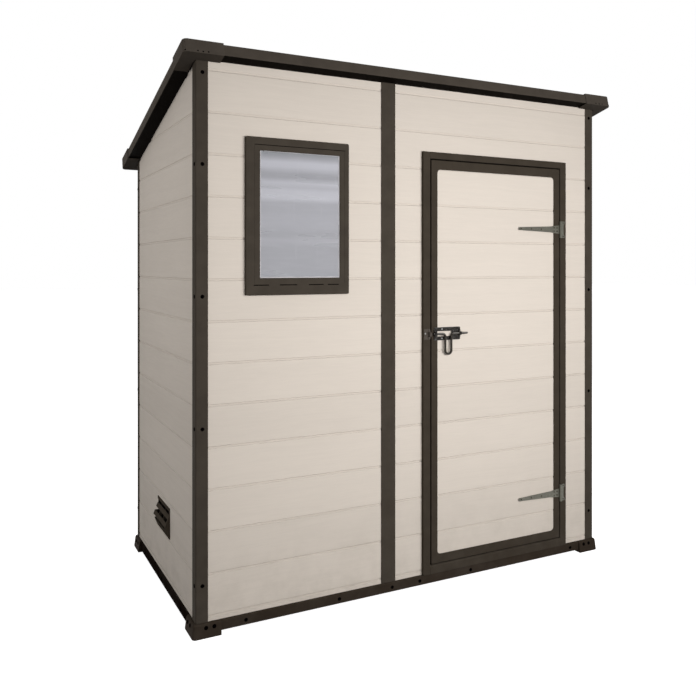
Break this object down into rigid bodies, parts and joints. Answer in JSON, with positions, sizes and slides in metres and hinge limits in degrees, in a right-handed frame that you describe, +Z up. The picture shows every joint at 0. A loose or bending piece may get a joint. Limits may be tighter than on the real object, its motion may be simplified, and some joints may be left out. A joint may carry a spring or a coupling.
{
  "type": "pent garden shed",
  "caption": "Pent garden shed in beige boarded resin with dark posts and trims, a sloping roof with capped corners, a fixed window, side vents and a door on tee hinges with a sliding bolt.",
  "frame": {"origin": "on the ground under the middle of the walls' plan, level with the undersides of the corner shoes and the floor ribs", "axes": "+X along the front to the right as seen from outside, +Y from the front wall to the rear wall, +Z up"},
  "size_m": [1.9196, 1.0997, 2.0221],
  "materials": {
    "beige_resin": "matt moulded resin with a faint wood grain",
    "brown_resin": "satin moulded resin",
    "dark_brown_resin": "satin moulded resin",
    "roof_resin": "satin moulded resin with a faint grain",
    "floor_resin": "matt moulded resin",
    "window_pane": "cloudy clear plastic sheet",
    "hinge_metal": "grey green coating",
    "latch_steel": "dark satin coating"
  },
  "bodies": {
    "shed": {"floor_left_panel": "floor_resin", "floor_right_panel": "floor_resin", "front_rail": "dark_brown_resin", "rear_rail": "dark_brown_resin", "left_rail": "dark_brown_resin", "right_rail": "dark_brown_resin", "corner_shoes": "dark_brown_resin", "front_left_post": "brown_resin", "front_right_post": "brown_resin", "rear_left_post": "brown_resin", "rear_right_post": "brown_resin", "front_mullion": "brown_resin", "rear_mullion": "brown_resin", "front_window_panel": "beige_resin", "front_latch_side_panel": "beige_resin", "front_hinge_side_panel": "beige_resin", "front_over_door_panel": "beige_resin", "left_wall": "beige_resin", "right_wall": "beige_resin", "rear_left_panel": "beige_resin", "rear_right_panel": "beige_resin", "window_frame": "brown_resin", "window_pane": "window_pane", "door_jamb_latch_side": "brown_resin", "door_jamb_hinge_side": "brown_resin", "door_head": "brown_resin", "door_threshold": "dark_brown_resin", "hinge_leaf_upper": "hinge_metal", "hinge_leaf_lower": "hinge_metal", "latch_keeper": "latch_steel", "left_vent": "brown_resin", "right_vent": "brown_resin", "roof_left_panel": "roof_resin", "roof_right_panel": "roof_resin", "front_fascia": "roof_resin", "rear_fascia": "roof_resin", "left_fascia": "roof_resin", "right_fascia": "roof_resin", "roof_corner_caps": "roof_resin"},
    "door": {"door_rim": "brown_resin", "door_panel": "beige_resin", "hinge_strap_upper": "hinge_metal", "hinge_strap_lower": "hinge_metal", "latch_plate": "latch_steel"},
    "bolt": {"latch_bolt": "latch_steel"}
  },
  "joints": [
    {"name": "door_hinge", "type": "hinge", "parent": "shed", "child": "door", "pos_m": [0.70275, -0.4983, 0.853], "axis": [0, 0, 1], "range_deg": [0, 110]},
    {"name": "bolt_slide", "type": "slide", "parent": "door", "child": "bolt", "axis": [1, 0, 0], "range_m": [-0.027, 0]}
  ]
}
